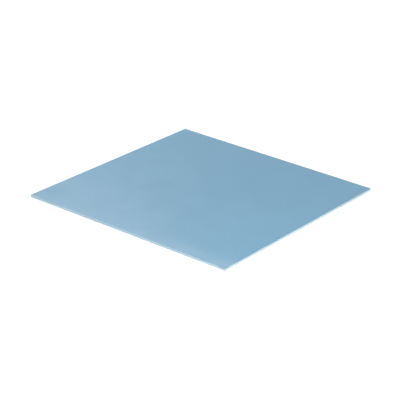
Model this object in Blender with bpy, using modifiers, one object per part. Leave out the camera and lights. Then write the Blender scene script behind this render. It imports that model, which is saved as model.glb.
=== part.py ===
"""A thermal pad sheet: one flat square of soft, ceramic-filled silicone, cut from a cast web.

Metres, +Z up. The origin is the middle of the underside, and the sheet lies flat on z = 0.
"""

import math

import bpy

# Driving dimensions
WIDTH = 0.120           # along X
LENGTH = 0.120          # along Y
THICKNESS = 0.001       # along Z, the gap that the pad fills
CORNER_RADIUS = 0.0004  # the four corners, seen from above
RIM_RADIUS = 0.00012    # where the cut sides meet the two faces

# Facets of the rounded corners and rims
CORNER_SEGMENTS = 6
RIM_SEGMENTS = 3
SHARP_ANGLE = math.radians(30.0)

# The two rims share the wall, so each takes less than half of it
LARGEST_RIM = 0.45 * THICKNESS

# Finish of the silicone: pale grey-blue, soft and not shiny
SILICONE_COLOUR = (0.25, 0.43, 0.57, 1.0)
SILICONE_ROUGHNESS = 0.55


def clear_scene():
    """Removes every object that the scene holds."""
    for old in list(bpy.data.objects):
        bpy.data.objects.remove(old, do_unlink=True)


def silicone():
    """The filled silicone of the sheet."""
    material = bpy.data.materials.new("filled_silicone")
    material.use_nodes = True
    shader = material.node_tree.nodes["Principled BSDF"]
    shader.inputs["Base Color"].default_value = SILICONE_COLOUR
    shader.inputs["Roughness"].default_value = SILICONE_ROUGHNESS
    shader.inputs["Metallic"].default_value = 0.0
    material.diffuse_color = SILICONE_COLOUR
    return material


def mark_corner_edges(mesh):
    """Gives the four upright edges the bevel weight that rounds them."""
    weights = mesh.attributes.new("bevel_weight_edge", "FLOAT", "EDGE")
    for edge in mesh.edges:
        low, high = (mesh.vertices[i].co for i in edge.vertices)
        upright = abs(high.z - low.z) > 0.5 * THICKNESS
        weights.data[edge.index].value = 1.0 if upright else 0.0


def thermal_pad(collection):
    """The cut sheet: a block of the stock thickness with its corners and rims eased."""
    bpy.ops.mesh.primitive_cube_add(size=1.0, location=(0.0, 0.0, 0.5 * THICKNESS))
    pad = bpy.context.object
    pad.name = "thermal_pad"
    pad.data.name = "thermal_pad"
    pad.scale = (WIDTH, LENGTH, THICKNESS)
    bpy.ops.object.transform_apply(location=False, rotation=False, scale=True)
    mark_corner_edges(pad.data)

    corners = pad.modifiers.new("rounded_corners", "BEVEL")
    corners.limit_method = "WEIGHT"
    corners.width = CORNER_RADIUS
    corners.segments = CORNER_SEGMENTS

    rims = pad.modifiers.new("eased_rims", "BEVEL")
    rims.limit_method = "ANGLE"
    rims.angle_limit = SHARP_ANGLE
    rims.width = min(RIM_RADIUS, LARGEST_RIM)
    rims.segments = RIM_SEGMENTS

    pad.data.shade_smooth()
    pad.data.set_sharp_from_angle(angle=SHARP_ANGLE)
    pad.data.materials.append(silicone())
    for holder in list(pad.users_collection):
        holder.objects.unlink(pad)
    collection.objects.link(pad)
    return pad


clear_scene()
sheet = bpy.data.collections.new("thermal_pad_sheet")
bpy.context.scene.collection.children.link(sheet)
thermal_pad(sheet)
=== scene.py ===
"""A thermal pad sheet on a pale floor, in the soft light of a product photograph. Metres, +Z up."""

import math

import bmesh
import bpy
from mathutils import Matrix, Vector


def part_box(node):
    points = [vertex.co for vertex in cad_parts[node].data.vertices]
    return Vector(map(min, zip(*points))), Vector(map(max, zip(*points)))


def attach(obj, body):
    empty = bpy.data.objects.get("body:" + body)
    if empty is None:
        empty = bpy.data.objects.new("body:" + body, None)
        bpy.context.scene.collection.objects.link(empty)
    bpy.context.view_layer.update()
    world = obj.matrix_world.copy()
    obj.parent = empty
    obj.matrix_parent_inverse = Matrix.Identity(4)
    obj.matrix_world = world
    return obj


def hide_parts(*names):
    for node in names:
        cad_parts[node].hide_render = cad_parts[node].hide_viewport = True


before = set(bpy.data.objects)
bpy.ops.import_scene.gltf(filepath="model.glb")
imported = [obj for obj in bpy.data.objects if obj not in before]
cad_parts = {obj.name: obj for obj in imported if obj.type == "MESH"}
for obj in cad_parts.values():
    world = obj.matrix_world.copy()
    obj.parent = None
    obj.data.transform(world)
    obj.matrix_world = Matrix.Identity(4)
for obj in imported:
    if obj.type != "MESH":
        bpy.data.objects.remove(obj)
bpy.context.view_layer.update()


# The thermal pad
# One flat square of silicone gel, packed with ceramic powder. It is cast as a wide web between two
# liner films, which leave both faces smooth, and a knife that comes down from above cuts it to size.

low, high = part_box("thermal_pad")
width = high.x - low.x
length = high.y - low.y
thickness = high.z - low.z
middle = Vector(((low.x + high.x) / 2, (low.y + high.y) / 2, low.z))    # of the underside

knife_room = 0.00002        # what the cut may wander inside the nominal outline
corner_radius = 0.0004
top_rim_radius = 0.0001     # the knife drags the upper rim down and rounds it
low_rim_radius = 0.00004    # the lower rim breaks off nearly sharp
wall_hollow = 0.00001       # soft stock springs back behind the blade
side_lean = 0.00005         # the blade's bevel leaves the sides, which face along X, wider at the foot
end_lean = 0.00001          # and the ends, which face along Y, a little
shoulder_width = 0.0009     # the skin rolls down towards the rim, where the blade pressed it
shoulder_drop = 0.000015
wall_top = thickness - shoulder_drop - top_rim_radius

skin_step = 0.0008          # squares of the two faces
outline_cuts = 2            # further cuts of each square along the outline
corner_segments = 6
top_rim_segments = 4
low_rim_segments = 2
wall_segments = 5
shoulder_segments = 3


def cut_section():
    """The cut from its foot up to the skin: how far in from the outline, along X and Y, and how high."""
    wall_lean = Vector((side_lean, end_lean))
    rows = []    # each with its inset, its share of the lean and its height
    for i in range(low_rim_segments):
        turn = math.pi / 2 * i / low_rim_segments
        rows.append((low_rim_radius * (1 - math.sin(turn)), 0.0, low_rim_radius * (1 - math.cos(turn))))
    for i in range(wall_segments + 1):
        share = i / wall_segments
        height = low_rim_radius + (wall_top - low_rim_radius) * share
        rows.append((wall_hollow * math.sin(math.pi * share), share, height))
    for i in range(1, top_rim_segments + 1):
        turn = math.pi / 2 * i / top_rim_segments
        height = wall_top + top_rim_radius * math.sin(turn)
        rows.append((top_rim_radius * (1 - math.cos(turn)), 1.0, height))
    for i in range(1, shoulder_segments + 1):
        share = i / shoulder_segments
        height = thickness - shoulder_drop * (1 - share) ** 2
        rows.append((top_rim_radius + shoulder_width * share, 1.0, height))
    return [(Vector((knife_room + inset, knife_room + inset)) + wall_lean * lean, height)
            for inset, lean, height in rows]


# The underside comes first, as a flat grid that is as wide as the foot of the cut
section = cut_section()
span = Vector((width, length)) - 2 * section[0][0]
bpy.ops.object.select_all(action="DESELECT")
bpy.ops.mesh.primitive_grid_add(
    x_subdivisions=round(width / skin_step), y_subdivisions=round(length / skin_step),
    size=1.0, location=middle)
pad = bpy.context.object
pad.name = "thermal_pad_silicone"
pad.data.name = "thermal_pad_silicone"
bpy.ops.object.mode_set(mode="EDIT")
bpy.ops.mesh.select_all(action="SELECT")
bpy.ops.transform.resize(value=(*span, 1.0), center_override=middle)

# The four corners are rounded, as a steel-rule cutter leaves them
bpy.ops.mesh.select_all(action="DESELECT")
shape = bmesh.from_edit_mesh(pad.data)
for vertex in shape.verts:
    vertex.select_set(len(vertex.link_faces) == 1)
bmesh.update_edit_mesh(pad.data)
bpy.ops.mesh.bevel(offset=corner_radius, segments=corner_segments, affect="VERTICES")

# The straight runs of the outline get finer steps than the faces, for the marks of the knife
longest_corner_edge = 0.4 * skin_step
bpy.ops.mesh.select_all(action="DESELECT")
shape = bmesh.from_edit_mesh(pad.data)
for edge in shape.edges:
    edge.select_set(edge.is_boundary and edge.calc_length() > longest_corner_edge)
bmesh.update_edit_mesh(pad.data)
bpy.ops.mesh.subdivide(number_cuts=outline_cuts, ngon=True)

# The whole grid is raised and narrowed step by step along the section, and the steps are the cuts
bpy.ops.mesh.select_all(action="SELECT")
for (last_inset, last_height), (inset, height) in zip(section, section[1:]):
    rise = (0.0, 0.0, height - last_height)
    bpy.ops.mesh.extrude_region_move(TRANSFORM_OT_translate={"value": rise})
    wanted = span + 2 * (last_inset - inset)
    bpy.ops.transform.resize(value=(wanted.x / span.x, wanted.y / span.y, 1.0), center_override=middle)
    span = wanted
bpy.ops.object.mode_set(mode="OBJECT")


# The silicone is one body with two finishes, the film-cast skin and the knife-cut sides
silicone_ior = 1.43
grain_scale = 2600.0                  # powder grains of 0.4 mm
grain_low, grain_high = 0.48, 0.72    # where their noise turns from bare silicone to a full grain
cloud_scale = 70.0                    # clouds of 14 mm
cloud_low, cloud_high = 0.3, 0.7      # nearly all of their noise lies between these


def feed(tree, source, socket):
    """Leads a node's output into a socket, or sets the socket to a plain value."""
    if isinstance(source, bpy.types.NodeSocket):
        tree.links.new(source, socket)
    else:
        socket.default_value = source


def cloudy_pattern(tree, label, place, scale, detail, roughness=0.5, distortion=0.0):
    """A noise from 0 to 1, read at the given place."""
    noise = tree.nodes.new("ShaderNodeTexNoise")
    noise.label = label
    noise.inputs["Scale"].default_value = scale
    noise.inputs["Detail"].default_value = detail
    noise.inputs["Roughness"].default_value = roughness
    noise.inputs["Distortion"].default_value = distortion
    feed(tree, place, noise.inputs["Vector"])
    return noise.outputs["Fac"]


def slope(tree, value, start, end, at_start=0.0, at_end=1.0, form="SMOOTHSTEP"):
    """Turns a value that runs from start to end into one that runs from at_start to at_end."""
    span_map = tree.nodes.new("ShaderNodeMapRange")
    span_map.interpolation_type = form
    span_map.inputs["From Min"].default_value = start
    span_map.inputs["From Max"].default_value = end
    span_map.inputs["To Min"].default_value = at_start
    span_map.inputs["To Max"].default_value = at_end
    feed(tree, value, span_map.inputs["Value"])
    return span_map.outputs["Result"]


def calculated(tree, operation, *values):
    """The result of a Math node on these values."""
    step = tree.nodes.new("ShaderNodeMath")
    step.operation = operation
    for socket, value in zip(step.inputs, values):
        feed(tree, value, socket)
    return step.outputs["Value"]


def colour_blend(tree, amount, colour, second_colour):
    """The colour, mixed with this amount of the second one."""
    blend = tree.nodes.new("ShaderNodeMix")
    blend.data_type = "RGBA"
    feed(tree, amount, blend.inputs["Factor"])
    feed(tree, colour, blend.inputs["A"])
    feed(tree, second_colour, blend.inputs["B"])
    return blend.outputs["Result"]


def silicone_group():
    """Ceramic powder in silicone: fine grains, soft clouds where it was stirred, and a height for bump."""
    group = bpy.data.node_groups.new("ceramic_filled_silicone", "ShaderNodeTree")
    sockets = group.interface
    sockets.new_socket("Colour", in_out="INPUT", socket_type="NodeSocketColor")
    sockets.new_socket("Grain Colour", in_out="INPUT", socket_type="NodeSocketColor")
    sockets.new_socket("Grain Amount", in_out="INPUT", socket_type="NodeSocketFloat")
    sockets.new_socket("Cloud Amount", in_out="INPUT", socket_type="NodeSocketFloat")
    sockets.new_socket("Colour", in_out="OUTPUT", socket_type="NodeSocketColor")
    sockets.new_socket("Cloud", in_out="OUTPUT", socket_type="NodeSocketFloat")
    sockets.new_socket("Height", in_out="OUTPUT", socket_type="NodeSocketFloat")
    given = group.nodes.new("NodeGroupInput")
    result = group.nodes.new("NodeGroupOutput")
    place = group.nodes.new("ShaderNodeTexCoord").outputs["Object"]

    grains = cloudy_pattern(group, "powder grains", place, grain_scale, detail=2.0)
    grain_mask = slope(group, grains, grain_low, grain_high)
    grain_amount = calculated(group, "MULTIPLY", grain_mask, given.outputs["Grain Amount"])
    speckled = colour_blend(group, grain_amount, given.outputs["Colour"], given.outputs["Grain Colour"])

    clouds = cloudy_pattern(
        group, "stirred clouds", place, cloud_scale, detail=3.0, roughness=0.45, distortion=0.6)
    cloud_swing = calculated(group, "SUBTRACT", clouds, (cloud_low + cloud_high) / 2)
    tone = calculated(group, "MULTIPLY_ADD", cloud_swing, given.outputs["Cloud Amount"], 1.0)
    clouded = group.nodes.new("ShaderNodeVectorMath")
    clouded.operation = "SCALE"
    feed(group, speckled, clouded.inputs[0])
    feed(group, tone, clouded.inputs["Scale"])

    feed(group, clouded.outputs["Vector"], result.inputs["Colour"])
    feed(group, clouds, result.inputs["Cloud"])
    feed(group, grains, result.inputs["Height"])
    return group


silicone = silicone_group()


def silicone_material(name, colour, grain_colour, grain_amount, cloud_amount, roughness, spread,
                      grain_height):
    """A finish of the silicone, whose roughness goes up and down by the spread, with the clouds."""
    material = bpy.data.materials.new(name)
    material.use_nodes = True
    material.diffuse_color = (*colour, 1.0)
    tree = material.node_tree
    shader = tree.nodes["Principled BSDF"]
    shader.inputs["IOR"].default_value = silicone_ior
    body = tree.nodes.new("ShaderNodeGroup")
    body.name = "silicone_body"
    body.node_tree = silicone
    body.inputs["Colour"].default_value = (*colour, 1.0)
    body.inputs["Grain Colour"].default_value = (*grain_colour, 1.0)
    body.inputs["Grain Amount"].default_value = grain_amount
    body.inputs["Cloud Amount"].default_value = cloud_amount
    feed(tree, body.outputs["Colour"], shader.inputs["Base Color"])

    gloss = slope(tree, body.outputs["Cloud"], cloud_low, cloud_high,
                  roughness - spread, roughness + spread, form="LINEAR")
    feed(tree, gloss, shader.inputs["Roughness"])

    bump = tree.nodes.new("ShaderNodeBump")
    bump.name = "grain_bump"
    bump.inputs["Distance"].default_value = grain_height
    feed(tree, body.outputs["Height"], bump.inputs["Height"])
    feed(tree, bump.outputs["Normal"], shader.inputs["Normal"])
    return material


skin_finish = silicone_material(
    "film_cast_silicone", colour=(0.148, 0.320, 0.462), grain_colour=(0.27, 0.455, 0.60),
    grain_amount=0.20, cloud_amount=0.08, roughness=0.35, spread=0.04, grain_height=0.000003)

# Painted sheen: the skin's colour is paled in soft patches along one edge, more towards the front corner,
# as a painted highlight of the light's glare
painted_sheen_colour = (0.92, 0.93, 0.94, 1.0)
painted_sheen_amount = 0.052
painted_sheen_depth = 0.014                                    # in from the edge
painted_sheen_start, painted_sheen_full = -0.1 * width, 0.3 * width    # along the edge
thin_patch, thick_patch = 0.5, 1.5                     # shares of the amount, with the clouds
skin = skin_finish.node_tree
skin_body = skin.nodes["silicone_body"]
skin_axes = skin.nodes.new("ShaderNodeSeparateXYZ")
feed(skin, skin.nodes.new("ShaderNodeTexCoord").outputs["Object"], skin_axes.inputs["Vector"])
from_edge = slope(skin, skin_axes.outputs["Y"], low.y, low.y + painted_sheen_depth, painted_sheen_amount, 0.0)
to_corner = slope(skin, skin_axes.outputs["X"], painted_sheen_start, painted_sheen_full)
patches = slope(skin, skin_body.outputs["Cloud"], cloud_low, cloud_high, thin_patch, thick_patch,
                form="LINEAR")
even_painted_sheen = calculated(skin, "MULTIPLY", from_edge, to_corner)
patchy_painted_sheen = calculated(skin, "MULTIPLY", even_painted_sheen, patches)
# the painted sheen, a painted highlight, is mixed into the skin's colour here
skin_with_painted_sheen = colour_blend(skin, patchy_painted_sheen, skin_body.outputs["Colour"], painted_sheen_colour)
feed(skin, skin_with_painted_sheen, skin.nodes["Principled BSDF"].inputs["Base Color"])

cut_finish = silicone_material(
    "knife_cut_silicone", colour=(0.455, 0.615, 0.70), grain_colour=(0.62, 0.755, 0.82),
    grain_amount=0.35, cloud_amount=0.08, roughness=0.62, spread=0.04, grain_height=0.00001)

# Fine streaks up the cut, where the blade dragged the filler along
streak_size = 0.0003
streak_height = 0.00002
streak_squeeze = 0.04       # of the pattern's height, which draws the streaks out upwards
cut = cut_finish.node_tree
upright_stretch = cut.nodes.new("ShaderNodeMapping")
upright_stretch.inputs["Scale"].default_value = (1.0, 1.0, streak_squeeze)
feed(cut, cut.nodes.new("ShaderNodeTexCoord").outputs["Object"], upright_stretch.inputs["Vector"])
streaks = cloudy_pattern(
    cut, "knife streaks", upright_stretch.outputs["Vector"], 1 / streak_size, detail=2.0)
streak_bump = cut.nodes.new("ShaderNodeBump")
streak_bump.inputs["Distance"].default_value = streak_height
feed(cut, streaks, streak_bump.inputs["Height"])
feed(cut, cut.nodes["grain_bump"].outputs["Normal"], streak_bump.inputs["Normal"])
feed(cut, streak_bump.outputs["Normal"], cut.nodes["Principled BSDF"].inputs["Normal"])

pad.data.materials.append(skin_finish)
pad.data.materials.append(cut_finish)

# The map for the export's pictures has the two skins side by side, and the cuts above as wide strips
skins_share = 0.75          # of the map's height
strip_height = (1 - skins_share) / 4
map_gap = 0.004             # round each part of the map


def skin_spot(place, under_side):
    """A point of the upper skin in the map's left column, or of the under side in its right one."""
    column = 0.5 if under_side else 0.0
    across = 0.5 + (-place.x if under_side else place.x) / width
    along = 0.5 + place.y / length
    return (column + map_gap + across * (0.5 - 2 * map_gap),
            map_gap + along * (skins_share - 2 * map_gap))


def cut_spot(place, facing):
    """A point of the cut that faces this way, in its own strip of the map."""
    if abs(facing.x) > abs(facing.y):
        strip = 0 if facing.x > 0 else 1
        along = 0.5 + (place.y if facing.x > 0 else -place.y) / length
    else:
        strip = 2 if facing.y > 0 else 3
        along = 0.5 - (place.x if facing.y > 0 else -place.x) / width
    return (map_gap + along * (1 - 2 * map_gap),
            skins_share + strip * strip_height + map_gap
            + place.z / thickness * (strip_height - 2 * map_gap))


# The bare silicone shows from the foot of the cut to half-way round the upper rim
rim_middle = wall_top + top_rim_radius * math.sin(math.pi / 4)
under_skin_top = 0.000001    # a face whose middle is lower than this is the underside's
bpy.ops.object.mode_set(mode="EDIT")
bpy.ops.mesh.select_all(action="DESELECT")
shape = bmesh.from_edit_mesh(pad.data)
bake_map = shape.loops.layers.uv.new("OFBake")
for polygon in shape.faces:
    face_height = polygon.calc_center_median().z
    under_side = face_height < under_skin_top
    bare = not under_side and face_height < rim_middle
    polygon.select_set(bare)
    for loop in polygon.loops:
        place = loop.vert.co
        loop[bake_map].uv = cut_spot(place, polygon.normal) if bare else skin_spot(place, under_side)
bmesh.update_edit_mesh(pad.data)
pad.active_material_index = 1
bpy.ops.object.material_slot_assign()
bpy.ops.object.mode_set(mode="OBJECT")

# How far each relief moves a point. A face's relief fades on the way to the other face, and the
# knife's marks fade within a corner radius of the outline.
upper_skin = pad.vertex_groups.new(name="upper_skin")
under_skin = pad.vertex_groups.new(name="under_skin")
side_walls = pad.vertex_groups.new(name="side_walls")
end_walls = pad.vertex_groups.new(name="end_walls")
for vertex in pad.data.vertices:
    height_share = vertex.co.z / thickness
    side_depth = (width / 2 - abs(vertex.co.x)) / corner_radius
    end_depth = (length / 2 - abs(vertex.co.y)) / corner_radius
    upper_skin.add([vertex.index], height_share, "REPLACE")
    under_skin.add([vertex.index], 1 - height_share, "REPLACE")
    side_walls.add([vertex.index], max(0.0, 1 - side_depth), "REPLACE")
    end_walls.add([vertex.index], max(0.0, 1 - end_depth), "REPLACE")


def relief(name, group, direction, size, strength, octaves=1, middle_level=0.0, guide=None):
    """Moves the points of the named vertex group by clouds of the given size, and applies it.

    The clouds go by the object's own coordinates, or by those of a guide.
    """
    clouds = bpy.data.textures.new(name, "CLOUDS")
    clouds.noise_scale = size
    clouds.noise_depth = octaves
    displace = pad.modifiers.new(name, "DISPLACE")
    displace.texture = clouds
    displace.texture_coords = "OBJECT" if guide else "LOCAL"
    displace.texture_coords_object = guide
    displace.vertex_group = group
    displace.direction = direction
    displace.mid_level = middle_level
    displace.strength = strength
    bpy.ops.object.modifier_apply(modifier=name)
    bpy.data.textures.remove(clouds)


# Uneven casting: long shallow waves and the faint dimpling of the liner film, which only go inwards
relief("casting_waves", "upper_skin", "Z", size=0.018, strength=-0.00006)
relief("film_dimples", "upper_skin", "Z", size=0.004, strength=-0.000012)
relief("bed_waves", "under_skin", "Z", size=0.012, strength=0.00002)

# Knife marks run straight up the cut, so their pattern is stretched along the height. They go in and
# out by half of their strength.
mark_stretch = 1000.0
upright = bpy.data.objects.new("upright_pattern", None)
upright.scale = (1.0, 1.0, mark_stretch)
bpy.context.scene.collection.objects.link(upright)
bpy.context.view_layer.update()
for walls, across in (("side_walls", "X"), ("end_walls", "Y")):
    relief("knife_wander", walls, across, size=0.011, strength=0.00003, middle_level=0.5, guide=upright)
    relief("drag_marks", walls, across, size=0.0007, strength=0.00001, octaves=0, middle_level=0.5,
           guide=upright)
bpy.data.objects.remove(upright)

pad.data.transform(pad.matrix_world)
pad.matrix_world = Matrix.Identity(4)
sharp_angle = math.radians(35)
bpy.ops.object.shade_smooth_by_angle(angle=sharp_angle)

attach(pad, "root")
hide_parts("thermal_pad")


# The studio
# A white light table under the sheet, a white room that is brightest at its horizon, and soft boxes.

table_size = 6.0
table_drop = 0.00005        # below the sheet, so that the two never touch
bpy.ops.object.select_all(action="DESELECT")
bpy.ops.mesh.primitive_plane_add(size=table_size, location=(0.0, 0.0, low.z - table_drop))
floor = bpy.context.object
floor.name = "light_table"
table_finish = bpy.data.materials.new("white_light_table")
table_finish.use_nodes = True
table = table_finish.node_tree
table_shader = table.nodes["Principled BSDF"]
table_shader.inputs["Base Color"].default_value = (0.9, 0.9, 0.9, 1.0)
table_shader.inputs["Roughness"].default_value = 0.9
table_shader.inputs["Emission Color"].default_value = (1.0, 1.0, 1.0, 1.0)

# The table glows least at the sheet, where the soft boxes light it, and stays white to its far edge
near_glow, far_glow = 0.15, 0.75
near_reach, far_reach = 1.2 * width, 4.0 * width
reach = table.nodes.new("ShaderNodeVectorMath")
reach.operation = "LENGTH"
feed(table, table.nodes.new("ShaderNodeTexCoord").outputs["Object"], reach.inputs[0])
glow = slope(table, reach.outputs["Value"], near_reach, far_reach, near_glow, far_glow)
feed(table, glow, table_shader.inputs["Emission Strength"])
floor.data.materials.append(table_finish)

# The room is brightest at the horizon and dims towards the ceiling
horizon_light, ceiling_light = 1.05, 0.5
fade_start, fade_end = 0.10, 0.36    # heights of the direction looked in, from 0 level to 1 straight up
world = bpy.data.worlds.new("white_room")
bpy.context.scene.world = world
world.use_nodes = True
room = world.node_tree
background = room.nodes["Background"]
background.inputs["Color"].default_value = (1.0, 1.0, 1.0, 1.0)
looking = room.nodes.new("ShaderNodeSeparateXYZ")
feed(room, room.nodes.new("ShaderNodeTexCoord").outputs["Generated"], looking.inputs["Vector"])
fade = slope(room, looking.outputs["Z"], fade_start, fade_end, horizon_light, ceiling_light)
feed(room, fade, background.inputs["Strength"])


def soft_box(name, azimuth, elevation, distance, size, power, swing=0.0):
    """A soft box of the given width and height that faces the sheet, or is swung aside from it.

    Azimuth runs from +X towards +Y. The angles are in degrees, and the power is in watts.
    """
    around = math.radians(azimuth)
    tilt = math.radians(elevation)
    level = math.cos(tilt)
    towards = Vector((level * math.cos(around), level * math.sin(around), math.sin(tilt)))
    lamp = bpy.data.lights.new(name, "AREA")
    lamp.shape = "RECTANGLE"
    lamp.size, lamp.size_y = size
    lamp.energy = power
    holder = bpy.data.objects.new(name, lamp)
    holder.location = middle + towards * distance
    holder.rotation_euler = (math.pi / 2 - tilt, 0.0, math.pi / 2 + around + math.radians(swing))
    holder.visible_camera = False
    bpy.context.scene.collection.objects.link(holder)


small_box = (0.12, 0.12)
wide_box = (0.216, 0.196)
soft_box("key_box", azimuth=330, elevation=42, distance=0.32, size=small_box, power=0.50)
soft_box("back_box", azimuth=90, elevation=42, distance=0.32, size=small_box, power=0.046)
soft_box("sheen_box", azimuth=150, elevation=42, distance=0.32, size=small_box, power=0.076)
soft_box("edge_box", azimuth=151, elevation=45, distance=0.524, size=wide_box, power=1.09, swing=-57)


# The camera
# It looks down on the sheet from the photograph's place, with the photograph's slight roll.

camera_azimuth = math.radians(37.68)    # 0 looks along +Y
camera_elevation = math.radians(24.16)
camera_roll = math.radians(1.91)
camera_distance = 6.179 * width
camera_lens = 135.0                     # on the usual 36 mm sensor
aim_across = -0.0127 * width            # from the middle of the sheet, as the camera sees it
aim_up = -0.0354 * width

back = Vector((math.sin(camera_azimuth) * math.cos(camera_elevation),
               -math.cos(camera_azimuth) * math.cos(camera_elevation),
               math.sin(camera_elevation)))
level_right = Vector((0.0, 0.0, 1.0)).cross(back).normalized()
level_up = back.cross(level_right)
right = math.cos(camera_roll) * level_right + math.sin(camera_roll) * level_up
up = math.cos(camera_roll) * level_up - math.sin(camera_roll) * level_right
top_middle = middle + Vector((0.0, 0.0, thickness))
camera_place = top_middle + right * aim_across + up * aim_up + back * camera_distance
lens = bpy.data.cameras.new("product_camera")
lens.lens = camera_lens
camera = bpy.data.objects.new("product_camera", lens)
bpy.context.scene.collection.objects.link(camera)
camera_turn = Matrix((right, up, back)).transposed().to_4x4()
camera.matrix_world = Matrix.Translation(camera_place) @ camera_turn
bpy.context.scene.camera = camera
bpy.context.scene.view_settings.view_transform = "Standard"
